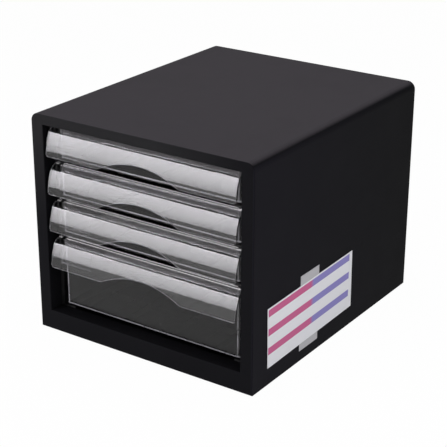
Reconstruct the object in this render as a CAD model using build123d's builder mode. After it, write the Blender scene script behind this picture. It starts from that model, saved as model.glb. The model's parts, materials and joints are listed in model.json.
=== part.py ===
from build123d import *
import os

os.makedirs("parts", exist_ok=True)

# A desktop cabinet for A4 paper: a black moulded housing with three shallow drawers over one
# deep drawer, all four in clear plastic, each with a curved pull along the top of its front.
# Millimetres. +Z is up, the drawers open towards -Y, and the origin is on the table under
# the middle of the housing.

# Driving dimensions: housing
cabinet_width = 280.0
cabinet_depth = 330.0
cabinet_height = 250.0  # table to top, pads included
corner_radius = 9.0  # outside radius of the two long upper edges
shell_wall = 3.0
foot_lift = 1.0  # how far the pads hold the housing off the table
fit_gap = 0.2  # moulded piece in moulded piece, per side

# Driving dimensions: front frame
post_width = 15.0
top_rail_height = 11.5
sill_height = 24.0  # table to the bottom of the opening
frame_face = 5.0  # thickness of the front plate
frame_depth = 18.0  # front plate to the rear end of the opening's reveal
reveal_wall = 2.5
plug_wall = 2.0  # rim that plugs into the housing
plug_depth = 8.0
frame_edge_radius = 1.0

# Driving dimensions: back, base and pads
back_recess = 1.0
back_thickness = 2.5
back_rib_width = 1.6
back_rib_height = 3.0
back_rib_inset = 20.0  # rib ends to the plate's edges
base_thickness = 2.5
base_rib_width = 1.6
base_rib_height = 8.0
base_rib_inset = 6.0  # rib ends to the runner panels
shell_rib_width = 1.6
shell_rib_height = 4.0
locating_rib = 2.0
pad_radius = 8.0
pad_inset_x = 28.0
pad_inset_y = 30.0

# Driving dimensions: runner panels
running_gap = 0.3  # between a drawer and what it slides on
runner_gap = 3.5  # drawer's side to the runner panel's face
runner_wall = 2.0
runner_rib = 2.0
runner_top_gap = 1.0  # below the start of the housing's rounded edge
ledge_thickness = 1.8
ledge_seat = 4.5  # how far a ledge reaches under the flat of a drawer's floor
ledge_root_radius = 1.2

# Driving dimensions: drawers
shallow_count = 3
shallow_height = 40.0  # underside of the floor to the top of the pull
front_setback = 15.0  # front plate to the drawers' flat fronts
top_gap = 2.3  # highest pull to the top rail
sill_gap = 2.0  # deep drawer to the sill
tray_side_gap = 7.5  # drawer's side to the opening's side
tray_rear_gap = 7.5
tray_wall = 2.0
tray_corner = 7.0
tray_floor_radius = 6.0
side_wall_drop = 10.0  # side and rear walls below the top of the pull
wall_step_back = 15.0  # where the side walls step down, behind the front
floor_rib_width = 1.6
floor_rib_height = 0.8
floor_rib_count = 3
floor_rib_pitch = 60.0
floor_rib_margin = 20.0

# Driving dimensions: stops
stop_travel = 237.0  # how far a drawer opens
stop_contact = 0.4  # left between stop and lug when it is fully open
stop_gap = 0.8  # drawer's side to the stop on the runner panel
stop_setback = 6.0  # front end of the runner panel to the stop
stop_thickness = 3.0
stop_ramp = 3.0
stop_height = 10.0
stop_drop = 12.0  # top of the stop below the top of the pull
lug_gap = 0.6  # lug to the runner panel's face
lug_thickness = 2.5
lug_ramp = 5.0
lug_height = 8.0

# Driving dimensions: pulls
pull_side_gap = 5.0
pull_height = 31.0
pull_wall = 2.0
pull_top = 2.0  # flat strip between the drawer's front and the shoulder
shoulder_radius = 10.0
plate_radius = 70.0  # slightly round plate below the shoulder
plate_tilt = 24.0  # degrees from upright, where the plate meets the shoulder
plate_sweep = 26.0  # degrees, more than the pull's height needs
pull_end_radius = 3.0
clip_wall = 1.6
clip_height = 6.0
clip_gap = 0.1
arch_radius = 108.5
arch_rise = 13.0
arch_corner_radius = 6.0

# Driving dimensions: label holders
label_inset = 12.0  # left end of the pull to the holder
label_width = 41.0
label_drop = 5.5  # top of the pull to the holder
label_height = 18.5
label_wall = 1.0
label_slot = 0.8
label_rim = 1.4
glue_gap = 0.05

# Driving dimensions: screws
shank_radius = 1.5
head_radius = 3.3
head_height = 0.8  # less than the pads and the back's recess leave
screw_length = 9.0
hole_gap = 0.1
boss_width = 8.0
boss_height = 9.0
base_screw_inset = 55.0  # front and rear planes to the screws in the base
back_screw_rise = 30.0  # above the middle of the runner panels

# Driving dimensions: index card on the right side
card_length = 171.0
card_height = 67.5
card_thickness = 0.4
card_front_inset = 27.0
card_bottom = 22.0
card_tilt = 1.0  # degrees
tape_width = 37.0
tape_height = 87.0
tape_thickness = 0.25
tape_front_inset = 90.0
tape_bottom = 13.0

# Places that follow from the sizes above
front_y = -cabinet_depth / 2
back_y = cabinet_depth / 2
body_height = cabinet_height - foot_lift
opening_width = cabinet_width - 2 * post_width
opening_top = cabinet_height - top_rail_height
opening_height = opening_top - sill_height
shell_front = front_y + frame_face
shell_inner_x = cabinet_width / 2 - shell_wall
inner_width = 2 * (shell_inner_x - fit_gap)
inner_corner = corner_radius - shell_wall - fit_gap
inner_top = cabinet_height - shell_wall - fit_gap
base_top = foot_lift + base_thickness
back_inner = back_y - back_recess - back_thickness

tray_front = front_y + front_setback
tray_rear = back_inner - tray_rear_gap
tray_length = tray_rear - tray_front
tray_middle = (tray_front + tray_rear) / 2
tray_width = opening_width - 2 * tray_side_gap
tray_half = tray_width / 2

runner_face = tray_half + runner_gap
runner_outer = shell_inner_x - fit_gap
runner_depth = runner_outer - runner_face
runner_front = front_y + frame_depth + fit_gap
runner_rear = back_inner
runner_length = runner_rear - runner_front
runner_top = cabinet_height - corner_radius - runner_top_gap
runner_height = runner_top - base_top
boss_x = (runner_face + runner_wall + runner_outer) / 2
ledge_reach = runner_gap + tray_corner + ledge_seat

stop_rear = runner_front + stop_setback + stop_thickness
lug_front = stop_rear + stop_travel + stop_contact

pull_width = opening_width - 2 * pull_side_gap
clip_width = 2 * (tray_half - tray_corner - clip_gap)
arch_drop = arch_radius - arch_rise

# Each drawer's name, the underside of its floor and the top of its pull
drawer_pitch = shallow_height + ledge_thickness + 2 * running_gap
first_top = opening_top - top_gap
drawers = []
for index in range(shallow_count):
    drawer_top = first_top - index * drawer_pitch
    drawers.append((f"drawer_{index + 1}", drawer_top - shallow_height, drawer_top))
deep_top = first_top - shallow_count * drawer_pitch
drawers.append((f"drawer_{shallow_count + 1}", sill_height + sill_gap, deep_top))

# Screws and pads: one place for a screw and for the holes that it goes through
base_screw_y = cabinet_depth / 2 - base_screw_inset
back_screw_z = (base_top + runner_top) / 2 + back_screw_rise
base_screw_planes = []
back_screw_planes = []
for side in (-1, 1):
    for end in (-1, 1):
        base_screw_origin = (side * boss_x, end * base_screw_y, foot_lift)
        base_screw_planes.append(Plane(origin=base_screw_origin, z_dir=(0, 0, 1)))
    back_screw_origin = (side * boss_x, back_y - back_recess, back_screw_z)
    back_screw_planes.append(Plane(origin=back_screw_origin, z_dir=(0, -1, 0)))
pad_x = cabinet_width / 2 - pad_inset_x
pad_y = cabinet_depth / 2 - pad_inset_y


def finish(piece, label):
    """Name a finished piece and write it."""
    piece.part.label = label
    export_step(piece.part, f"parts/{label}.step")


# Housing: top and two sides in one moulding, open below, in front and behind. Ribs inside
# the top stiffen it, and one on each side keeps the runner panel down.
with BuildPart() as housing_shell:
    with BuildSketch(Plane.XZ.offset(-back_y)) as shell_outline:
        with Locations((0, foot_lift)):
            Rectangle(cabinet_width, body_height, align=(Align.CENTER, Align.MIN))
        fillet(shell_outline.vertices().group_by(Axis.Y)[-1], corner_radius)
    extrude(amount=back_y - shell_front)
    with BuildSketch(Plane.XZ.offset(-back_y)) as shell_hollow:
        with Locations((0, foot_lift)):
            Rectangle(
                2 * shell_inner_x, body_height - shell_wall, align=(Align.CENTER, Align.MIN)
            )
        fillet(shell_hollow.vertices().group_by(Axis.Y)[-1], corner_radius - shell_wall)
    extrude(amount=back_y - shell_front, mode=Mode.SUBTRACT)
    with BuildSketch(Plane.XZ.offset(-runner_rear + fit_gap)):
        with Locations((0, cabinet_height - shell_wall)):
            with GridLocations(cabinet_width / 4, 1, 3, 1):
                Rectangle(shell_rib_width, shell_rib_height, align=(Align.CENTER, Align.MAX))
        with Locations((-shell_inner_x, runner_top + fit_gap)):
            Rectangle(2 * locating_rib, locating_rib, align=(Align.CENTER, Align.MIN))
        with Locations((shell_inner_x, runner_top + fit_gap)):
            Rectangle(2 * locating_rib, locating_rib, align=(Align.CENTER, Align.MIN))
    extrude(amount=runner_length - 2 * fit_gap)
finish(housing_shell, "housing_shell")

# Front frame: a plate with the housing's outline, a reveal round the opening and a rim that
# plugs into the housing
with BuildPart() as front_frame:
    with BuildSketch(Plane.XZ.offset(-front_y)) as frame_outline:
        with Locations((0, foot_lift)):
            Rectangle(cabinet_width, body_height, align=(Align.CENTER, Align.MIN))
        fillet(frame_outline.vertices().group_by(Axis.Y)[-1], corner_radius)
    extrude(amount=-frame_face)
    fillet(front_frame.faces().sort_by(Axis.Y)[0].edges(), frame_edge_radius)
    with BuildSketch(Plane.XZ.offset(-shell_front)) as plug_outline:
        with Locations((0, base_top + fit_gap)):
            Rectangle(
                inner_width, inner_top - base_top - fit_gap, align=(Align.CENTER, Align.MIN)
            )
        fillet(plug_outline.vertices().group_by(Axis.Y)[-1], inner_corner)
        offset(amount=-plug_wall, mode=Mode.SUBTRACT)
    extrude(amount=-plug_depth)
    with BuildSketch(Plane.XZ.offset(-shell_front)):
        with Locations((0, sill_height - reveal_wall)):
            Rectangle(
                opening_width + 2 * reveal_wall,
                opening_height + 2 * reveal_wall,
                align=(Align.CENTER, Align.MIN),
            )
    extrude(amount=frame_face - frame_depth)
    with BuildSketch(Plane.XZ.offset(-front_y)):
        with Locations((0, sill_height)):
            Rectangle(opening_width, opening_height, align=(Align.CENTER, Align.MIN))
    extrude(amount=-frame_depth, mode=Mode.SUBTRACT)
    opening_edges = front_frame.faces().sort_by(Axis.Y)[0].inner_wires().edges()
    fillet(opening_edges, frame_edge_radius)
finish(front_frame, "front_frame")

# Back plate, ribbed inside, set into the rear of the housing
with BuildPart() as back_panel:
    with BuildSketch(Plane.XZ.offset(-back_inner)) as back_outline:
        with Locations((0, foot_lift)):
            Rectangle(inner_width, inner_top - foot_lift, align=(Align.CENTER, Align.MIN))
        fillet(back_outline.vertices().group_by(Axis.Y)[-1], inner_corner)
    extrude(amount=-back_thickness)
    with BuildSketch(Plane.XZ.offset(-back_inner)):
        with Locations((0, (base_top + inner_top) / 2)):
            with GridLocations(runner_face / 2, 1, 3, 1):
                Rectangle(back_rib_width, inner_top - base_top - 2 * back_rib_inset)
            Rectangle(2 * (runner_face - back_rib_inset), back_rib_width)
    extrude(amount=back_rib_height)
    with Locations(*[Plane(origin=p.origin, z_dir=-p.z_dir) for p in back_screw_planes]):
        Hole(shank_radius + hole_gap, depth=back_thickness)
finish(back_panel, "back_panel")

# Base plate, ribbed above and flat below, where the pads are glued
with BuildPart() as base_panel:
    with BuildSketch(Plane.XY.offset(foot_lift)):
        with Locations((0, shell_front + fit_gap)):
            Rectangle(
                inner_width,
                back_inner - shell_front - 2 * fit_gap,
                align=(Align.CENTER, Align.MIN),
            )
    extrude(amount=base_thickness)
    with BuildSketch(Plane.XY.offset(base_top)):
        with Locations((0, (runner_front + runner_rear) / 2)):
            with GridLocations(runner_face / 2, 1, 3, 1):
                Rectangle(base_rib_width, runner_length - 2 * base_rib_inset)
            with GridLocations(1, runner_length / 4, 1, 3):
                Rectangle(2 * (runner_face - base_rib_inset), base_rib_width)
    extrude(amount=base_rib_height)
    with Locations(*[Plane(origin=p.origin, z_dir=-p.z_dir) for p in base_screw_planes]):
        Hole(shank_radius + hole_gap, depth=base_thickness)
finish(base_panel, "base_panel")


def build_runner_panel(side, label):
    """One side's runner panel: a ribbed pan that stands against the housing's wall, with a
    ledge under each drawer and a stop in front. side is -1 on the left and 1 on the right."""
    with BuildPart() as panel:
        with BuildSketch(Plane.YZ.offset(side * runner_face)):
            with Locations((runner_front, base_top)):
                Rectangle(runner_length, runner_height, align=(Align.MIN, Align.MIN))
        extrude(amount=side * runner_depth)
        pocket_length = (runner_length - 2 * runner_wall - 2 * runner_rib) / 3
        pocket_height = (runner_height - 2 * runner_wall - runner_rib) / 2
        with BuildSketch(Plane.YZ.offset(side * runner_outer)):
            with Locations(((runner_front + runner_rear) / 2, (base_top + runner_top) / 2)):
                with GridLocations(pocket_length + runner_rib, pocket_height + runner_rib, 3, 2):
                    Rectangle(pocket_length, pocket_height)
        extrude(amount=-side * (runner_depth - runner_wall), mode=Mode.SUBTRACT)
        for name, underside, top in drawers:
            ledge_top = underside - running_gap
            ledge_end = side * (runner_face - ledge_reach)
            ledge_root = ledge_top - ledge_thickness
            with BuildSketch(Plane.XZ.offset(-runner_front)) as ledge_section:
                with BuildLine():
                    Polyline(
                        (side * runner_face, ledge_top),
                        (ledge_end, ledge_top),
                        (ledge_end, ledge_root),
                        (side * (runner_face - ledge_root_radius), ledge_root),
                        (side * runner_face, ledge_root - ledge_root_radius),
                        close=True,
                    )
                make_face()
            extrude(amount=-runner_length)
            stop_tip = side * (tray_half + stop_gap)
            with BuildSketch(Plane.XY.offset(top - stop_drop - stop_height)) as stop_section:
                with BuildLine():
                    Polyline(
                        (side * runner_face, stop_rear),
                        (stop_tip, stop_rear),
                        (stop_tip, stop_rear - stop_thickness),
                        (side * runner_face, stop_rear - stop_thickness - stop_ramp),
                        close=True,
                    )
                make_face()
            extrude(amount=stop_height)
        side_base_planes = [p for p in base_screw_planes if p.origin.X * side > 0]
        side_back_planes = [p for p in back_screw_planes if p.origin.X * side > 0]
        boss_align = (Align.CENTER, Align.CENTER, Align.MIN)
        with Locations(*[p.offset(base_thickness) for p in side_base_planes]):
            Box(boss_width, boss_width, boss_height, align=boss_align)
        with Locations(*[p.offset(back_thickness) for p in side_back_planes]):
            Box(boss_width, boss_width, boss_height, align=boss_align)
        screw_seats = side_base_planes + side_back_planes
        with Locations(*[Plane(origin=p.origin, z_dir=-p.z_dir) for p in screw_seats]):
            Hole(shank_radius + hole_gap, depth=screw_length + hole_gap)
    finish(panel, label)


build_runner_panel(-1, "left_runner_panel")
build_runner_panel(1, "right_runner_panel")


def build_screws(planes, label):
    """Thin-headed screws, each with its head on the outside of the plate that it holds."""
    with BuildPart() as screws:
        with Locations(*planes):
            Cylinder(head_radius, head_height, align=(Align.CENTER, Align.CENTER, Align.MAX))
            Cylinder(shank_radius, screw_length, align=(Align.CENTER, Align.CENTER, Align.MIN))
    finish(screws, label)


build_screws(base_screw_planes, "base_screws")
build_screws(back_screw_planes, "back_screws")

# Pads: rubber discs glued under the base plate
for pad_label, pad_side, pad_end in (
    ("foot_front_left", -1, -1),
    ("foot_front_right", 1, -1),
    ("foot_rear_left", -1, 1),
    ("foot_rear_right", 1, 1),
):
    with BuildPart() as pad:
        with BuildSketch(Plane.XY):
            with Locations((pad_side * pad_x, pad_end * pad_y)):
                Circle(pad_radius)
        extrude(amount=foot_lift)
    finish(pad, pad_label)


def build_basin(inset, underside, top):
    """A block of the drawer's outline, drawn in by inset: round in front, and round below
    along its front and sides."""
    with BuildPart() as basin:
        with BuildSketch(Plane.XY.offset(underside + inset)) as basin_outline:
            with Locations((0, tray_middle)):
                Rectangle(tray_width - 2 * inset, tray_length - 2 * inset)
            fillet(basin_outline.vertices().group_by(Axis.Y)[0], tray_corner - inset)
        extrude(amount=top - underside - inset)
        floor_edges = basin.faces().sort_by(Axis.Z)[0].edges()
        fillet(floor_edges.sort_by(Axis.Y)[:-1], tray_floor_radius - inset)
    return basin.part


def build_tray(underside, top, label):
    """A clear tray: round front corners, a round edge below, ribs under the paper, side and
    rear walls that step down behind the front, and a lug on each side that meets the stop."""
    wall_top = top - pull_wall
    side_top = top - side_wall_drop
    step_y = tray_front + wall_step_back
    with BuildPart() as tray:
        add(build_basin(0, underside, wall_top))
        add(build_basin(tray_wall, underside, top), mode=Mode.SUBTRACT)
        with BuildSketch(Plane.YZ.offset(-tray_width)) as walls_cut:
            with BuildLine():
                Polyline(
                    (step_y, top),
                    (step_y, wall_top),
                    (step_y + wall_top - side_top, side_top),
                    (back_y, side_top),
                    (back_y, top),
                    close=True,
                )
            make_face()
        extrude(amount=2 * tray_width, mode=Mode.SUBTRACT)
        with BuildSketch(Plane.XY.offset(underside + tray_wall)):
            with Locations((0, tray_middle)):
                with GridLocations(floor_rib_pitch, 1, floor_rib_count, 1):
                    Rectangle(floor_rib_width, tray_length - 2 * floor_rib_margin)
        extrude(amount=floor_rib_height)
        lug_tip = runner_face - lug_gap
        with BuildSketch(Plane.XY.offset(top - stop_drop - stop_height)) as lug_sections:
            with BuildLine():
                Polyline(
                    (tray_half - tray_wall / 2, lug_front),
                    (lug_tip, lug_front),
                    (lug_tip, lug_front + lug_thickness),
                    (tray_half, lug_front + lug_thickness + lug_ramp),
                    (tray_half - tray_wall / 2, lug_front + lug_thickness + lug_ramp),
                    close=True,
                )
            make_face()
            mirror(about=Plane.YZ)
        extrude(amount=lug_height)
    finish(tray, label)


def hood_outline(top, inset):
    """What lies behind the pull's profile drawn in by inset: flat on top, then a round
    shoulder and a plate that leans forward."""
    with BuildSketch() as outline:
        with BuildLine():
            strip = Line((tray_front, top - inset), (tray_front - pull_top, top - inset))
            shoulder = JernArc(strip @ 1, strip % 1, shoulder_radius - inset, 90 - plate_tilt)
            plate = JernArc(shoulder @ 1, shoulder % 1, plate_radius - inset, plate_sweep)
            Polyline(plate @ 1, (tray_front, (plate @ 1).Y), strip @ 0)
        make_face()
    return outline.sketch_local


def build_pull(top, label):
    """A clear pull, one profile long: a hood that hangs in front of the drawer, and a clip
    that grips the top edge of its front. An arch for the fingers is cut from below."""
    hood_bottom = top - pull_height
    groove_front = tray_front - clip_gap
    groove_rear = tray_front + tray_wall + clip_gap
    with BuildPart() as pull:
        with BuildSketch(Plane.YZ.offset(-pull_width / 2)):
            add(hood_outline(top, 0))
            add(hood_outline(top, pull_wall), mode=Mode.SUBTRACT)
            with Locations((tray_front, hood_bottom)):
                Rectangle(
                    pull_height, pull_height, align=(Align.MAX, Align.MIN), mode=Mode.INTERSECT
                )
            with Locations((tray_front, top)):
                Rectangle(tray_wall, pull_wall, align=(Align.MIN, Align.MAX))
            with Locations((groove_front, top)):
                Rectangle(clip_wall, clip_height + pull_wall, align=(Align.MAX, Align.MAX))
        extrude(amount=pull_width)
        with BuildSketch(Plane.YZ.offset(-clip_width / 2)):
            with Locations((groove_front, top)):
                Rectangle(
                    groove_rear + clip_wall - groove_front, pull_wall, align=(Align.MIN, Align.MAX)
                )
            with Locations((groove_rear, top)):
                Rectangle(clip_wall, clip_height + pull_wall, align=(Align.MIN, Align.MAX))
        extrude(amount=clip_width)
        with BuildSketch(Plane.XZ.offset(-tray_front)) as arch_cut:
            with Locations((0, hood_bottom - arch_drop)):
                Circle(arch_radius)
            with Locations((0, hood_bottom)):
                Rectangle(
                    2 * pull_width, pull_height, align=(Align.CENTER, Align.MIN), mode=Mode.INTERSECT
                )
                Rectangle(2 * pull_width, pull_height, align=(Align.CENTER, Align.MAX))
            tips = arch_cut.vertices().group_by(Axis.Y)[1]
            fillet(tips, arch_corner_radius)
        extrude(amount=pull_height, mode=Mode.SUBTRACT)
        low_edges = pull.edges().filter_by(Axis.Y).group_by(Axis.Z)[0]
        end_edges = [low_edges.sort_by(Axis.X)[0], low_edges.sort_by(Axis.X)[-1]]
        fillet(end_edges, pull_end_radius)
    finish(pull, label)


def build_label_holder(top, label):
    """A clear pocket behind the left end of the pull: a curved plate on a rim along its two
    ends and its foot, open at the top for a paper strip."""
    rim_inset = pull_wall + glue_gap
    slot_inset = rim_inset + label_slot
    left_end = -pull_width / 2 + label_inset
    foot_z = top - label_drop - label_height
    with BuildPart() as holder:
        with BuildSketch(Plane.YZ.offset(left_end)):
            add(hood_outline(top, rim_inset))
            add(hood_outline(top, slot_inset + label_wall), mode=Mode.SUBTRACT)
            with Locations((tray_front, foot_z)):
                Rectangle(
                    pull_height, label_height, align=(Align.MAX, Align.MIN), mode=Mode.INTERSECT
                )
        extrude(amount=label_width)
        with BuildSketch(Plane.YZ.offset(left_end + label_rim)):
            add(hood_outline(top, 0))
            add(hood_outline(top, slot_inset), mode=Mode.SUBTRACT)
            with Locations((tray_front, foot_z + label_rim)):
                Rectangle(
                    pull_height, label_height, align=(Align.MAX, Align.MIN), mode=Mode.INTERSECT
                )
        extrude(amount=label_width - 2 * label_rim, mode=Mode.SUBTRACT)
    finish(holder, label)


for name, underside, top in drawers:
    build_tray(underside, top, f"{name}_tray")
    build_pull(top, f"{name}_pull")
    build_label_holder(top, f"{name}_label_holder")

# Index card on the right side, over a strip of tape
with BuildPart() as card_tape:
    with BuildSketch(Plane.YZ.offset(cabinet_width / 2)):
        with Locations((front_y + tape_front_inset, tape_bottom)):
            Rectangle(tape_width, tape_height, align=(Align.MIN, Align.MIN))
    extrude(amount=tape_thickness)
finish(card_tape, "card_tape")

with BuildPart() as index_card:
    card_middle_y = front_y + card_front_inset + card_length / 2
    card_middle_z = card_bottom + card_height / 2
    with BuildSketch(Plane.YZ.offset(cabinet_width / 2 + tape_thickness)):
        with Locations((card_middle_y, card_middle_z)):
            Rectangle(card_length, card_height, rotation=card_tilt)
    extrude(amount=card_thickness)
finish(index_card, "index_card")
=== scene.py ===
"""Dresses a packed desktop drawer cabinet: a black moulded housing with four clear drawers.

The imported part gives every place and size. This script puts finishes on its nodes, swaps the
clear mouldings for copies with rounded edges, and sets the table, the lights and the camera.
"""

from __future__ import annotations

import json
import logging
import math
from dataclasses import dataclass
from enum import Enum
from typing import Any

import bpy
from mathutils import Matrix, Vector

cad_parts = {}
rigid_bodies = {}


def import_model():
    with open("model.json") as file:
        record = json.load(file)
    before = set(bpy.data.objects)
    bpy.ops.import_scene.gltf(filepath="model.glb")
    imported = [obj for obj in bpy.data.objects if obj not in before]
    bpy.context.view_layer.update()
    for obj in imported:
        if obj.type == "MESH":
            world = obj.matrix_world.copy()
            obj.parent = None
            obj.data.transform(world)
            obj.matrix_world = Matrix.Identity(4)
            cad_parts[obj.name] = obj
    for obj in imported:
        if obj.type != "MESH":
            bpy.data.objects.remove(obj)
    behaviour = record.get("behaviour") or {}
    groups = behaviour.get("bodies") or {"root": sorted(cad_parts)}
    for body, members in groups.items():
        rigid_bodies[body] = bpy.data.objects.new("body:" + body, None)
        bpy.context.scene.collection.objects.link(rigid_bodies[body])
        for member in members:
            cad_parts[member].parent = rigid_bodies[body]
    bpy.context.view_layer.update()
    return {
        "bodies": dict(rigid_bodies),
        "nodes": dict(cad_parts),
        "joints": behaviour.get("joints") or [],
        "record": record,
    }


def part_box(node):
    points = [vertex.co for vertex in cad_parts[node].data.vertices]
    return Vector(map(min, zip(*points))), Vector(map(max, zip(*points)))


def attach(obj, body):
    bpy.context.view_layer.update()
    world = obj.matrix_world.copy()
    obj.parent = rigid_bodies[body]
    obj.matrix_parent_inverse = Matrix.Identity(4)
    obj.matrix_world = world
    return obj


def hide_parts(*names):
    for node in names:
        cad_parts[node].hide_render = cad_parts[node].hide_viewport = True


LOG = logging.getLogger("drawer_cabinet")
MM = 0.001

Triple = tuple[float, float, float]
Colour = Triple

WHITE: Colour = (1.0, 1.0, 1.0)
FACE, EDGE = 0, 1  # the places of a clear piece's two finishes


class Slot(Enum):
    """The record's material slots."""

    HOUSING = "housing_black"
    RUNNER = "runner_black"
    CLEAR = "clear_plastic"
    PAD = "pad_rubber"
    SCREW = "screw_steel"
    CARD = "card_paper"
    TAPE = "clear_tape"


class Extra(Enum):
    """Further finishes of the clear pieces: for thin walls, and painted highlights for edges."""

    WALL = "clear_wall"
    FILM = "clear_film"
    BRIGHT_EDGE = "bright_edge"
    FAINT_EDGE = "faint_edge"


class PaleFaces(Enum):
    """Which of a clear piece's own faces also get the painted edge highlight."""

    FIRST_TURN = "where its front starts to turn into its sides and its floor"
    LOWER_CUT = "where it is cut off below its shoulder"


class Term:
    """A number that varies over a surface: an output socket that takes part in arithmetic."""

    def __init__(self, graph: Graph, socket: bpy.types.NodeSocket) -> None:
        """Wrap a socket.

        Args:
            graph: The graph that the socket belongs to.
            socket: An output socket that carries a number.
        """
        self.graph = graph
        self.socket = socket

    def _apply(self, operation: str, *values: Term | float) -> Term:
        """Add a Math node.

        Args:
            operation: The Math node's operation.
            values: Its inputs in order.

        Returns:
            The node's output.
        """
        inputs = {str(place): value for place, value in enumerate(values)}
        made = self.graph.node("ShaderNodeMath", {"operation": operation}, inputs)
        return Term(self.graph, made.outputs[0])

    def __add__(self, other: Term | float) -> Term:
        """Return self + other."""
        return self._apply("ADD", self, other)

    __radd__ = __add__

    def __sub__(self, other: Term | float) -> Term:
        """Return self - other."""
        return self._apply("SUBTRACT", self, other)

    def __rsub__(self, other: float) -> Term:
        """Return other - self."""
        return self._apply("SUBTRACT", other, self)

    def __mul__(self, other: Term | float) -> Term:
        """Return self * other."""
        return self._apply("MULTIPLY", self, other)

    __rmul__ = __mul__

    def greatest(self, other: Term) -> Term:
        """Return the larger of self and other."""
        return self._apply("MAXIMUM", self, other)

    def above(self, edge: float, blur: float) -> Term:
        """Step from 0 to 1.

        Args:
            edge: Where the step is half way.
            blur: Half the width over which it rises.

        Returns:
            0 below the edge and 1 above it.
        """
        return self.graph.ramp(self, edge - blur, edge + blur)

    def sway(self, breadth: float) -> Term:
        """Turn noise about 0.5 into noise about 0.

        Args:
            breadth: From its least to its greatest value.

        Returns:
            The noise, which can be added to a value.
        """
        return breadth * (self - 0.5)


class Graph:
    """The node tree of one material, lamp or world."""

    def __init__(self, tree: bpy.types.NodeTree) -> None:
        """Empty a node tree and hold it.

        Args:
            tree: The tree to build in.
        """
        self.tree = tree
        tree.nodes.clear()

    def node(
        self,
        kind: str,
        settings: dict[str, Any] | None = None,
        inputs: dict[str, Any] | None = None,
    ) -> bpy.types.Node:
        """Add any node.

        Args:
            kind: The node's type name.
            settings: Its properties, set before its sockets.
            inputs: Values or links by the socket's name, or by its number written as text.

        Returns:
            The new node.
        """
        made = self.tree.nodes.new(kind)
        for name, value in (settings or {}).items():
            setattr(made, name, value)
        for name, value in (inputs or {}).items():
            socket = made.inputs[int(name) if name.isdigit() else name]
            if isinstance(value, Term):
                self.tree.links.new(value.socket, socket)
            elif isinstance(value, bpy.types.NodeSocket):
                self.tree.links.new(value, socket)
            elif isinstance(value, tuple) and socket.type == "RGBA":
                socket.default_value = (*value, 1.0)
            else:
                socket.default_value = value
        return made

    def parts(self, vector: bpy.types.NodeSocket) -> dict[str, Term]:
        """Return a vector's x, y and z."""
        split = self.node("ShaderNodeSeparateXYZ", inputs={"Vector": vector})
        return {axis: Term(self, split.outputs[axis.upper()]) for axis in "xyz"}

    def coordinates(self, kind: str) -> bpy.types.NodeSocket:
        """Return one kind of texture coordinates."""
        return self.node("ShaderNodeTexCoord").outputs[kind]

    def place(self) -> dict[str, Term]:
        """Return the point's own x, y and z in metres."""
        return self.parts(self.coordinates("Object"))

    def facing_up(self) -> Term:
        """Return the upward share of the surface's normal."""
        return self.parts(self.node("ShaderNodeNewGeometry").outputs["Normal"])["z"]

    def seen(self) -> Term:
        """Tell apart what is seen from what only lights things.

        Returns:
            1 for what is seen by eye, in a reflection or through clear plastic, and 0 for the rest.
        """
        path = self.node("ShaderNodeLightPath")
        eye, gloss, through = (
            Term(self, path.outputs[f"Is {kind} Ray"]) for kind in ("Camera", "Glossy", "Transmission")
        )
        return eye.greatest(gloss).greatest(through)

    def ramp(self, value: Term, low: float, high: float) -> Term:
        """Map a value from low..high to 0..1, and keep it in there.

        Args:
            value: The value to map.
            low: What becomes 0.
            high: What becomes 1.

        Returns:
            The mapped value.
        """
        made = self.node(
            "ShaderNodeMapRange",
            {"clamp": True},
            {"Value": value, "From Min": low, "From Max": high},
        )
        return Term(self, made.outputs["Result"])

    def noise(self, size: float, detail: float = 2.0, stretch: Triple = (1.0, 1.0, 1.0)) -> Term:
        """Add noise about 0.5.

        Args:
            size: The size of its lumps in metres.
            detail: How many finer layers it has.
            stretch: How much longer the lumps are along x, y and z.

        Returns:
            The noise, from 0 to 1.
        """
        scale = tuple(1.0 / (size * factor) for factor in stretch)
        mapping = self.node(
            "ShaderNodeMapping", inputs={"Vector": self.coordinates("Object"), "Scale": scale}
        )
        made = self.node(
            "ShaderNodeTexNoise",
            inputs={"Vector": mapping.outputs["Vector"], "Scale": 1.0, "Detail": detail},
        )
        return Term(self, made.outputs["Fac"])

    def mix(self, share: Term, first: Any, second: Any) -> bpy.types.NodeSocket:
        """Mix two colours.

        Args:
            share: How much of the second colour shows.
            first: A colour or a colour socket.
            second: A colour or a colour socket.

        Returns:
            The mixed colour.
        """
        inputs = {"0": share, "6": first, "7": second}  # by number, as the names repeat
        return self.node("ShaderNodeMix", {"data_type": "RGBA"}, inputs).outputs[2]

    def bump(self, height: Term, depth: float) -> bpy.types.NodeSocket:
        """Turn a height into a normal.

        Args:
            height: The height, from 0 to 1.
            depth: How far that is in metres.

        Returns:
            The bent normal.
        """
        made = self.node("ShaderNodeBump", inputs={"Height": height, "Distance": depth})
        return made.outputs["Normal"]

    def surface(self, **inputs: Any) -> None:
        """Finish the material with a Principled shader.

        Args:
            inputs: Values or links by socket name, with _ for a space.
        """
        shader = self.node(
            "ShaderNodeBsdfPrincipled",
            inputs={name.replace("_", " "): value for name, value in inputs.items()},
        )
        self.node("ShaderNodeOutputMaterial", inputs={"Surface": shader.outputs["BSDF"]})


class Finish:
    """A finish that can be put on a piece."""

    def paint(self, graph: Graph) -> None:
        """Build the finish's nodes.

        Args:
            graph: The material's empty graph.
        """
        raise NotImplementedError

    def material(self, name: str) -> bpy.types.Material:
        """Make the finish.

        Args:
            name: The material's name.

        Returns:
            The new material.
        """
        made = bpy.data.materials.new(name)
        made.use_nodes = True
        self.paint(Graph(made.node_tree))
        return made


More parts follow.
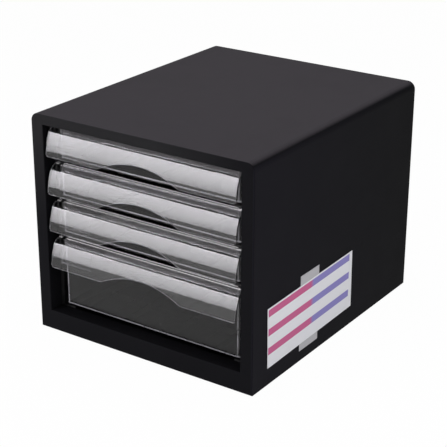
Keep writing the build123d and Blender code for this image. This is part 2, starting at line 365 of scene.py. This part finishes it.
@dataclass(frozen=True)
class GrainedBlack(Finish):
    """Satin black moulding with a fine grain, painted sheen on its top and front, painted side shade.

    Attributes:
        front: Where the front plate's face is along y.
        front_blur: Half the depth over which it begins.
        top: Above this height, what faces up gets the painted sheen.
        top_blur: Half the height over which the painted sheen begins.
        dust_tilt: The upward share of the normal where the painted sheen is half as strong.
        dust_blur: Half the change of that share over which it fades.
        film_low: Where the painted sheen on the front starts.
        film_high: Where it is full.
        film_left: Where along x it starts to fade towards the right.
        film_right: Where it ends.
        side: Where the right side's face is along x.
        side_blur: Half the depth over which it begins.
        side_front: The right side's painted shade at its front end.
        side_rear: Its painted shade at its rear end, darker.
        cloud_roughness: How much the roughness changes with the clouds.
        cloud_dust: How much the painted top sheen does.
        cloud_film: How much the painted front sheen does.
        rub_roughness: How much the roughness changes with the rub marks.
    """

    colour: Colour = (0.0066, 0.0065, 0.0077)
    worn: Colour = (0.0082, 0.0082, 0.0095)
    # painted sheen: the colour that lightens the top in place of reflected light
    dust: Colour = (0.054, 0.050, 0.055)
    # painted sheen: the colour that lightens the front's upper part
    film: Colour = (0.0185, 0.0183, 0.0192)
    roughness: float = 0.5
    shine: float = 0.015
    front: float = -0.1640
    front_blur: float = 0.3 * MM
    top: float = 0.238
    top_blur: float = 2 * MM
    dust_tilt: float = 0.8
    dust_blur: float = 0.15
    film_low: float = 0.13
    film_high: float = 0.243
    film_left: float = 0.02
    film_right: float = 0.13
    side: float = 0.1385
    side_blur: float = 0.5 * MM
    # painted shade of the right side, at its front and at its rear
    side_front: Colour = (0.0100, 0.0096, 0.0128)
    side_rear: Colour = (0.0038, 0.0038, 0.0046)
    grain: float = 0.7 * MM
    grain_depth: float = 0.012 * MM
    cloud: float = 45 * MM
    cloud_roughness: float = 0.10
    cloud_dust: float = 0.4
    cloud_film: float = 0.5
    rub: float = 2.5 * MM
    rub_stretch: Triple = (1.0, 12.0, 1.0)
    rub_roughness: float = 0.06

    def paint(self, graph: Graph) -> None:
        """Build the finish's nodes.

        Args:
            graph: The material's empty graph.
        """
        grain = graph.noise(self.grain, detail=3.0)
        cloud = graph.noise(self.cloud, detail=3.0)
        rub = graph.noise(self.rub, stretch=self.rub_stretch)
        place = graph.place()
        # painted sheen: the top's upward faces are lightened in cloudy patches
        level = place["z"].above(self.top, self.top_blur)
        flat = graph.facing_up().above(self.dust_tilt, self.dust_blur)
        top_sheen_share = flat * level * (1 + cloud.sway(self.cloud_dust))
        # painted shade: the right side darkens from its front to its rear
        rearward = graph.ramp(place["y"], self.front, -self.front)
        painted_side_shade = graph.mix(rearward, self.side_front, self.side_rear)
        black = graph.mix(cloud, self.colour, self.worn)
        walls = graph.mix(place["x"].above(self.side, self.side_blur), black, painted_side_shade)
        # painted sheen: the front is lightened towards its top, fading towards the right
        on_front = 1 - place["y"].above(self.front, self.front_blur)
        height = graph.ramp(place["z"], self.film_low, self.film_high)
        film = on_front * height * (1 - graph.ramp(place["x"], self.film_left, self.film_right))
        front_sheened = graph.mix(film * (1 + cloud.sway(self.cloud_film)), walls, self.film)
        roughness = self.roughness + cloud.sway(self.cloud_roughness) + rub.sway(self.rub_roughness)
        graph.surface(
            Base_Color=graph.mix(top_sheen_share, front_sheened, self.dust),
            Roughness=roughness,
            Specular_IOR_Level=self.shine,
            Normal=graph.bump(grain, self.grain_depth),
        )


@dataclass(frozen=True)
class PlainBlack(Finish):
    """Plain black moulding with faint rub marks along the drawers' way."""

    colour: Colour = (0.009, 0.009, 0.0095)
    worn: Colour = (0.014, 0.014, 0.0145)
    roughness: float = 0.5
    shine: float = 0.3
    rub: float = 3 * MM
    rub_stretch: Triple = (1.0, 25.0, 1.0)
    rub_depth: float = 0.01 * MM
    rub_roughness: float = 0.25
    cloud: float = 30 * MM

    def paint(self, graph: Graph) -> None:
        """Build the finish's nodes.

        Args:
            graph: The material's empty graph.
        """
        rub = graph.noise(self.rub, detail=3.0, stretch=self.rub_stretch)
        graph.surface(
            Base_Color=graph.mix(graph.noise(self.cloud), self.colour, self.worn),
            Roughness=self.roughness + rub.sway(self.rub_roughness),
            Specular_IOR_Level=self.shine,
            Normal=graph.bump(rub, self.rub_depth),
        )


@dataclass(frozen=True)
class ClearPolystyrene(Finish):
    """Clear polished plastic with faint flow marks and hairline scratches.

    Attributes:
        refraction: Its index of refraction, which sets how much each of its walls shines.
        deep: The colour that the flow marks turn it to.
        scratch_level: How high the noise is where a scratch begins.
        scratch_blur: Half the rise over which it begins.
    """

    colour: Colour = (0.955, 0.945, 0.965)
    deep: Colour = (0.94, 0.935, 0.94)
    refraction: float = 1.38
    polish: float = 0.02
    flow: float = 60 * MM
    flow_stretch: Triple = (2.0, 1.0, 0.6)
    flow_roughness: float = 0.02
    scratch: float = 0.8 * MM
    scratch_stretch: Triple = (30.0, 30.0, 1.0)
    scratch_roughness: float = 0.06
    scratch_level: float = 0.72
    scratch_blur: float = 0.03

    def paint(self, graph: Graph) -> None:
        """Build the finish's nodes.

        Args:
            graph: The material's empty graph.
        """
        flow = graph.noise(self.flow, detail=1.0, stretch=self.flow_stretch)
        scratch = graph.noise(self.scratch, stretch=self.scratch_stretch)
        scratched = scratch.above(self.scratch_level, self.scratch_blur)
        roughness = self.polish + self.flow_roughness * flow + self.scratch_roughness * scratched
        graph.surface(
            Base_Color=graph.mix(flow, self.colour, self.deep),
            Roughness=roughness,
            IOR=self.refraction,
            Transmission_Weight=1.0,
        )


@dataclass(frozen=True)
class PolishedEdge(Finish):
    """Painted highlight on a moulding's rounded edges: a pale colour where they catch light.

    Attributes:
        gather: How strong the painted highlight is, from 0 for none.
        patch: The size of the patches in which the painted highlight is stronger or weaker.
        patch_roughness: How much rougher the dull patches are.
        patch_gather: How much the painted highlight changes, as a share of it.
    """

    gather: float
    colour: Colour = (0.86, 0.85, 0.90)
    dull: Colour = (0.70, 0.69, 0.74)
    polish: float = 0.3
    patch: float = 18 * MM
    patch_roughness: float = 0.2
    patch_gather: float = 0.6

    def paint(self, graph: Graph) -> None:
        """Build the finish's nodes.

        Args:
            graph: The material's empty graph.
        """
        # painted highlight: a pale, partly opaque colour over the clear edge
        uneven = graph.noise(self.patch, detail=3.0)
        graph.surface(
            Base_Color=graph.mix(uneven, self.colour, self.dull),
            Roughness=self.polish + self.patch_roughness * uneven,
            Alpha=self.gather * (1 + uneven.sway(self.patch_gather)),
        )


@dataclass(frozen=True)
class PadRubber(Finish):
    """Soft black rubber with a dull skin."""

    colour: Colour = (0.018, 0.018, 0.018)
    chalky: Colour = (0.03, 0.03, 0.03)
    roughness: float = 0.75
    skin: float = 0.5 * MM
    skin_depth: float = 0.03 * MM
    skin_roughness: float = 0.1

    def paint(self, graph: Graph) -> None:
        """Build the finish's nodes.

        Args:
            graph: The material's empty graph.
        """
        skin = graph.noise(self.skin, detail=4.0)
        graph.surface(
            Base_Color=graph.mix(skin, self.colour, self.chalky),
            Roughness=self.roughness + self.skin_roughness * skin,
            Normal=graph.bump(skin, self.skin_depth),
        )


@dataclass(frozen=True)
class ZincSteel(Finish):
    """Zinc-plated steel, slightly mottled."""

    colour: Colour = (0.55, 0.56, 0.58)
    dull: Colour = (0.42, 0.42, 0.44)
    roughness: float = 0.25
    mottle: float = 0.6 * MM
    mottle_depth: float = 0.01 * MM
    mottle_roughness: float = 0.2

    def paint(self, graph: Graph) -> None:
        """Build the finish's nodes.

        Args:
            graph: The material's empty graph.
        """
        mottle = graph.noise(self.mottle, detail=3.0)
        graph.surface(
            Base_Color=graph.mix(mottle, self.colour, self.dull),
            Metallic=1.0,
            Roughness=self.roughness + self.mottle_roughness * mottle,
            Normal=graph.bump(mottle, self.mottle_depth),
        )


@dataclass(frozen=True)
class StripedCard(Finish):
    """White card with three plain stripes, pink in front and lavender behind.

    Attributes:
        front: Where the stripes start along y.
        rear: Where they end.
        change: Where pink gives way to lavender.
        change_blur: Half the length over which it does.
        middle: The card's middle along y.
        rows: How many stripes there are.
        lowest: The lowest stripe's middle along z, at the card's middle.
        pitch: From one stripe to the next.
        breadth: A stripe's height.
        slope: How much the card rises towards the rear, as a share of the way.
        print_blur: Half the width of the stripes' soft edges.
        fibre_ink: How much of the ink the fibres leave out at most.
        ink_smoothness: How much less rough the ink is than the paper.
    """

    front: float = -0.1368
    rear: float = 0.0265
    change: float = -0.052
    change_blur: float = 3 * MM
    middle: float = -0.0525
    rows: int = 3
    lowest: float = 0.0410
    pitch: float = 0.0214
    breadth: float = 0.008
    slope: float = 0.0175
    print_blur: float = 0.15 * MM
    paper: Colour = (0.86, 0.87, 0.89)
    fibre_shade: Colour = (0.82, 0.83, 0.85)
    pink: Colour = (0.56, 0.075, 0.24)
    lavender: Colour = (0.225, 0.198, 0.53)
    roughness: float = 0.62
    shine: float = 0.3
    fibre: float = 0.4 * MM
    fibre_depth: float = 0.01 * MM
    fibre_roughness: float = 0.1
    fibre_ink: float = 0.07
    ink_smoothness: float = 0.12

    def between(self, value: Term, low: float, high: float) -> Term:
        """Return 1 where a value lies between two printed edges, and 0 elsewhere."""
        return value.above(low, self.print_blur) * (1 - value.above(high, self.print_blur))

    def paint(self, graph: Graph) -> None:
        """Build the finish's nodes.

        Args:
            graph: The material's empty graph.
        """
        place = graph.place()
        along = place["y"]
        height = place["z"] - self.slope * (along - self.middle)
        bottoms = [self.lowest + row * self.pitch - self.breadth / 2 for row in range(self.rows)]
        stripes = sum(self.between(height, low, low + self.breadth) for low in bottoms)
        stripes = stripes * self.between(along, self.front, self.rear)
        fibre = graph.noise(self.fibre, detail=4.0)
        ink = graph.mix(along.above(self.change, self.change_blur), self.pink, self.lavender)
        paper = graph.mix(fibre, self.paper, self.fibre_shade)
        roughness = self.roughness + self.fibre_roughness * fibre - self.ink_smoothness * stripes
        graph.surface(
            Base_Color=graph.mix(stripes * (1 - self.fibre_ink * (1 - fibre)), paper, ink),
            Roughness=roughness,
            Specular_IOR_Level=self.shine,
            Normal=graph.bump(fibre, self.fibre_depth),
        )


@dataclass(frozen=True)
class ClearTape(Finish):
    """Translucent tape: a pale haze over what it covers."""

    colour: Colour = (0.56, 0.555, 0.585)
    cloudy: Colour = (0.46, 0.46, 0.47)
    haze: float = 0.9
    roughness: float = 0.25
    cloud: float = 9 * MM
    cloud_depth: float = 0.05 * MM
    cloud_roughness: float = 0.2
    cloud_haze: float = 0.12

    def paint(self, graph: Graph) -> None:
        """Build the finish's nodes.

        Args:
            graph: The material's empty graph.
        """
        cloud = graph.noise(self.cloud, detail=3.0)
        graph.surface(
            Base_Color=graph.mix(cloud, self.colour, self.cloudy),
            Roughness=self.roughness + self.cloud_roughness * cloud,
            Alpha=self.haze + cloud.sway(self.cloud_haze),
            Normal=graph.bump(cloud, self.cloud_depth),
        )


class Workshop:
    """Makes every finish once and puts finishes on pieces."""

    def __init__(self, frame: dict[str, Any]) -> None:
        """Hold the frame's nodes and make the finishes.
        """
        self.nodes: dict[str, bpy.types.Object] = frame["nodes"]
        finishes: dict[Slot | Extra, Finish] = {
            Slot.HOUSING: GrainedBlack(),
            Slot.RUNNER: PlainBlack(),
            Slot.CLEAR: ClearPolystyrene(),
            Slot.PAD: PadRubber(),
            Slot.SCREW: ZincSteel(),
            Slot.CARD: StripedCard(),
            Slot.TAPE: ClearTape(),
            Extra.WALL: ClearPolystyrene(refraction=1.27),
            Extra.FILM: ClearPolystyrene(refraction=1.06),
            # painted highlights for the clear pieces' edges, strong and faint
            Extra.BRIGHT_EDGE: PolishedEdge(gather=0.95),
            Extra.FAINT_EDGE: PolishedEdge(gather=0.3),
        }
        self.materials = {kind: finish.material(kind.value) for kind, finish in finishes.items()}

    def dress(self, node: str, slot: Slot) -> None:
        """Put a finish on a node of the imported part.

        Args:
            node: The node's name.
            slot: The finish's slot.
        """
        for place in self.nodes[node].material_slots:
            place.material = self.materials[slot]
        LOG.info("%s wears %s", node, slot.value)


@dataclass
class Housing:
    """The black housing with its plates, runners, screws and pads, and its card and tape."""

    shop: Workshop

    def build(self) -> None:
        """Put the finishes on the housing's nodes."""
        for node in ("housing_shell", "front_frame", "back_panel", "base_panel"):
            self.shop.dress(node, Slot.HOUSING)
        for node in ("left_runner_panel", "right_runner_panel"):
            self.shop.dress(node, Slot.RUNNER)
        for node in ("base_screws", "back_screws"):
            self.shop.dress(node, Slot.SCREW)
        for end in ("front", "rear"):
            for side in ("left", "right"):
                self.shop.dress(f"foot_{end}_{side}", Slot.PAD)
        self.shop.dress("index_card", Slot.CARD)
        self.shop.dress("card_tape", Slot.TAPE)


@dataclass(frozen=True)
class Moulding:
    """One clear piece of a drawer: a copy of its node whose sharp edges are rounded.

    Attributes:
        part: The end of its node's name.
        radius: The radius that its sharp edges get.
        face: The finish of its faces.
        edge: The painted highlight on its edges.
        pale: Which of its own faces also get the painted edge highlight.
        weld: Corners nearer to each other than this are one.
        flat: Faces that meet at less than this angle in degrees become one.
        sharp: An edge is rounded from this angle in degrees.
        smooth: Faces are shaded as one up to this angle in degrees.
        pale_depth: How far behind its front its edges carry the painted highlight.
        turn_depth: How far behind its front the first turn reaches.
        least_turn: The sideways or downward share of the normal where the first turn begins.
        most_turn: The same share where it ends.
        shoulder: How far below its top the lower cut begins.
        down: The least downward share of the lower cut's normal.
    """

    part: str
    radius: float
    face: Slot | Extra
    edge: Extra
    pale: PaleFaces = PaleFaces.LOWER_CUT
    weld: float = 0.001 * MM
    flat: float = 0.2
    sharp: float = 35.0
    segments: int = 2
    smooth: float = 40.0
    normal_weight: int = 50
    pale_depth: float = 12 * MM
    turn_depth: float = 3 * MM
    least_turn: float = 0.05
    most_turn: float = 0.3
    shoulder: float = 15 * MM
    down: float = 0.6

    def build(self, shop: Workshop, body: str) -> None:
        """Make the piece, and let it ride on its drawer in its node's stead.

        Args:
            shop: Where its finishes come from.
            body: The drawer's name.
        """
        node = f"{body}_{self.part}"
        piece = self.copy_of(shop.nodes[node], f"clear_{node}")
        self.round_edges(piece, [shop.materials[kind] for kind in (self.face, self.edge)])
        self.share_edges(piece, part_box(node))
        self.smooth_faces(piece)
        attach(piece, body)
        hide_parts(node)
        LOG.info("%s replaces %s", piece.name, node)

    def copy_of(self, original: bpy.types.Object, name: str) -> bpy.types.Object:
        """Copy a node and merge the copy's loose triangles.

        Args:
            original: The node to copy.
            name: The copy's name.

        Returns:
            The copy, alone selected and active.
        """
        bpy.ops.object.select_all(action="DESELECT")
        piece = bpy.data.objects.new(name, original.data.copy())
        bpy.context.collection.objects.link(piece)
        bpy.context.view_layer.objects.active = piece
        piece.select_set(True)
        if piece.data.has_custom_normals:
            bpy.ops.mesh.customdata_custom_splitnormals_clear()
        bpy.ops.object.mode_set(mode="EDIT")
        bpy.ops.mesh.select_all(action="SELECT")
        bpy.ops.mesh.remove_doubles(threshold=self.weld)
        bpy.ops.mesh.dissolve_limited(angle_limit=math.radians(self.flat))
        bpy.ops.object.mode_set(mode="OBJECT")
        return piece

    def round_edges(self, piece: bpy.types.Object, finishes: list[bpy.types.Material]) -> None:
        """Round the sharp edges, and give them the painted edge highlight.

        Args:
            piece: The piece, alone selected and active.
            finishes: The finish of its faces and the painted highlight of its edges.
        """
        piece.data.materials.clear()
        for finish in finishes:
            piece.data.materials.append(finish)
        edge = piece.modifiers.new("edge", "BEVEL")
        edge.width = self.radius
        edge.segments = self.segments
        edge.limit_method = "ANGLE"
        edge.angle_limit = math.radians(self.sharp)
        edge.material = EDGE
        bpy.ops.object.modifier_apply(modifier=edge.name)

    def share_edges(self, piece: bpy.types.Object, box: tuple[Triple, Triple]) -> None:
        """Keep the painted edge highlight near the front, and add it to the other faces there that catch
        light.

        Args:
            piece: The piece, whose rounded edges all carry the painted highlight.
            box: Its lowest and its highest corner.
        """
        # painted highlight: chosen faces near the front get the edge highlight
        front, top = box[0][1], box[1][2]
        for face in piece.data.polygons:
            depth = face.center.y - front
            turn = max(-face.normal.x, -face.normal.z)
            if depth > self.pale_depth:
                face.material_index = FACE
            elif self.pale is PaleFaces.FIRST_TURN:
                if depth < self.turn_depth and self.least_turn < turn < self.most_turn:
                    face.material_index = EDGE
            elif face.normal.z < -self.down and face.center.z < top - self.shoulder:
                face.material_index = EDGE

    def smooth_faces(self, piece: bpy.types.Object) -> None:
        """Shade the round faces smoothly and the flat ones flat.

        Args:
            piece: The piece, alone selected and active.
        """
        bpy.ops.object.shade_smooth_by_angle(angle=math.radians(self.smooth))
        normals = piece.modifiers.new("normals", "WEIGHTED_NORMAL")
        normals.weight = self.normal_weight
        normals.keep_sharp = True
        bpy.ops.object.modifier_apply(modifier=normals.name)


@dataclass
class Drawer:
    """One clear drawer with its pull and its label holder.

    Attributes:
        shop: Where the finishes come from.
        body: The drawer's name.
    """

    shop: Workshop
    body: str
    # each clear piece's edges carry a painted highlight
    tray: Moulding = Moulding("tray", 0.35 * MM, Extra.WALL, Extra.FAINT_EDGE, PaleFaces.FIRST_TURN)
    pull: Moulding = Moulding("pull", 0.6 * MM, Slot.CLEAR, Extra.BRIGHT_EDGE)
    label_holder: Moulding = Moulding("label_holder", 0.15 * MM, Extra.FILM, Extra.FAINT_EDGE)

    def build(self) -> None:
        """Swap the drawer's nodes for copies with rounded edges."""
        for moulding in (self.tray, self.pull, self.label_holder):
            moulding.build(self.shop, self.body)


@dataclass(frozen=True)
class Softbox:
    """A rectangular soft light.

    Attributes:
        name: The lamp's name.
        place: Its middle.
        aim: The point that it faces.
        width: Its width.
        height: Its height.
        radiance: How bright its face looks, where 1 is white.
        mirrored: Whether polished faces show it.
        foot: How bright a mirrored one is at its lower edge, as a share of its radiance.
        rise: How much brighter its upper edge is, as a share of the same.
    """

    name: str
    place: Triple
    aim: Triple
    width: float
    height: float
    radiance: float
    mirrored: bool = False
    tint: Colour = (0.975, 0.96, 1.0)
    foot: float = 0.45
    rise: float = 1.1

    def hang(self) -> None:
        """Hang the lamp in its place and turn it to what it faces."""
        lamp = bpy.data.lights.new(self.name, "AREA")
        lamp.shape = "RECTANGLE"
        lamp.size, lamp.size_y = self.width, self.height
        lamp.energy = self.radiance * math.pi * self.width * self.height
        lamp.color = self.tint
        if self.mirrored:
            self.shade(lamp)
        holder = bpy.data.objects.new(self.name, lamp)
        bpy.context.collection.objects.link(holder)
        direction = Vector(self.aim) - Vector(self.place)
        turn = direction.to_track_quat("-Z", "Y").to_matrix().to_4x4()
        holder.matrix_world = Matrix.Translation(self.place) @ turn
        holder.visible_camera = False
        holder.visible_glossy = self.mirrored
        holder.visible_transmission = self.mirrored

    def shade(self, lamp: bpy.types.Light) -> None:
        """Let a lamp's face grow brighter from its lower edge to its upper one.

        Args:
            lamp: The lamp.
        """
        lamp.use_nodes = True
        graph = Graph(lamp.node_tree)
        strength = self.foot + self.rise * graph.parts(graph.coordinates("UV"))["y"]
        glow = graph.node("ShaderNodeEmission", inputs={"Strength": strength})
        graph.node("ShaderNodeOutputLight", inputs={"Surface": glow.outputs[0]})


@dataclass(frozen=True)
class Camera:
    """The photograph's camera.

    Attributes:
        place: Where it stands.
        bearing: How far it stands round to the right, seen from the front, in degrees.
        dip: How far down it looks, in degrees.
        roll: How far it leans, in degrees.
        focal_length: In millimetres, as is the sensor's width.
        reach: How far it sees.
    """

    place: Triple = (0.7791, -1.1516, 0.6774)
    bearing: float = 34.355
    dip: float = 22.533
    roll: float = 0.181
    focal_length: float = 107.47
    sensor_width: float = 36.0
    reach: float = 50.0

    def stand(self) -> None:
        """Stand the camera in its place and look through it."""
        lens = bpy.data.cameras.new("photograph")
        lens.lens = self.focal_length
        lens.sensor_width = self.sensor_width
        lens.clip_end = self.reach
        holder = bpy.data.objects.new("photograph", lens)
        bpy.context.collection.objects.link(holder)
        holder.matrix_world = (
            Matrix.Translation(self.place)
            @ Matrix.Rotation(math.radians(self.bearing), 4, "Z")
            @ Matrix.Rotation(math.radians(90.0 - self.dip), 4, "X")
            @ Matrix.Rotation(math.radians(self.roll), 4, "Z")
        )
        bpy.context.scene.camera = holder


@dataclass(frozen=True)
class Studio:
    """The white table, the soft light and the camera of the photograph.

    Attributes:
        table_size: The square table's length and width.
        table_shade: Its shade under the lamps, in which the cabinet's shadow lies.
        table_glow: How much plain white covers that shade for the eye.
        horizon: How bright the room is up to a little above the horizon.
        ceiling: How bright it is higher up.
        fade: How far up the change between them lies, as the upward share of a direction.
        fade_blur: Half the way over which it changes.
        softboxes: The front one on the left, which shows in the pulls, and two more.
    """

    table_size: float = 12.0
    table_shade: float = 0.9
    table_glow: float = 0.98
    horizon: float = 1.0
    ceiling: float = 0.12
    fade: float = 0.17
    fade_blur: float = 0.07
    softboxes: tuple[Softbox, ...] = (
        Softbox("front_softbox", (-1.04, -1.56, 0.5), (0.11, -0.27, 0.5), 0.82, 1.0, 8.8, mirrored=True),
        Softbox("top_softbox", (0.0, 0.0, 1.9), (0.0, 0.0, 0.2), 1.4, 1.4, 3.0),
        Softbox("side_softbox", (1.9, -0.6, 1.0), (0.14, 0.0, 0.1), 1.0, 1.0, 3.6),
    )
    camera: Camera = Camera()

    def table(self) -> None:
        """Lay the table, which is white to the eye and takes a shadow."""
        bpy.ops.object.select_all(action="DESELECT")
        bpy.ops.mesh.primitive_plane_add(size=self.table_size, location=(0.0, 0.0, 0.0))
        table = bpy.context.active_object
        table.name = "white_table"
        paint = bpy.data.materials.new("white_table")
        paint.use_nodes = True
        graph = Graph(paint.node_tree)
        diffuse = graph.node("ShaderNodeBsdfDiffuse", inputs={"Color": (self.table_shade,) * 3})
        glow = graph.node("ShaderNodeEmission", inputs={"Color": WHITE, "Strength": 1.0})
        share = graph.seen() * self.table_glow
        both = graph.node(
            "ShaderNodeMixShader", inputs={"0": share, "1": diffuse.outputs[0], "2": glow.outputs[0]}
        )
        graph.node("ShaderNodeOutputMaterial", inputs={"Surface": both.outputs[0]})
        table.data.materials.append(paint)

    def world(self) -> None:
        """Surround the cabinet with soft light."""
        sky = bpy.data.worlds.new("studio")
        bpy.context.scene.world = sky
        sky.use_nodes = True
        graph = Graph(sky.node_tree)
        rise = graph.parts(graph.coordinates("Generated"))["z"].above(self.fade, self.fade_blur)
        strength = self.horizon - (self.horizon - self.ceiling) * rise
        light = graph.node("ShaderNodeBackground", inputs={"Color": WHITE, "Strength": strength})
        graph.node("ShaderNodeOutputWorld", inputs={"Surface": light.outputs[0]})

    def build(self) -> None:
        """Set up everything round the cabinet."""
        bpy.context.scene.view_settings.view_transform = "Standard"
        self.table()
        self.world()
        for softbox in self.softboxes:
            softbox.hang()
        self.camera.stand()
        LOG.info("studio set up")


def main() -> None:
    """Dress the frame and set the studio."""
    logging.basicConfig(level=logging.INFO, format="%(name)s: %(message)s")
    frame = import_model()
    shop = Workshop(frame)
    Housing(shop).build()
    for body in frame["bodies"]:
        if body.startswith("drawer_"):
            Drawer(shop, body).build()
    Studio().build()


if __name__ == "__main__":
    main()
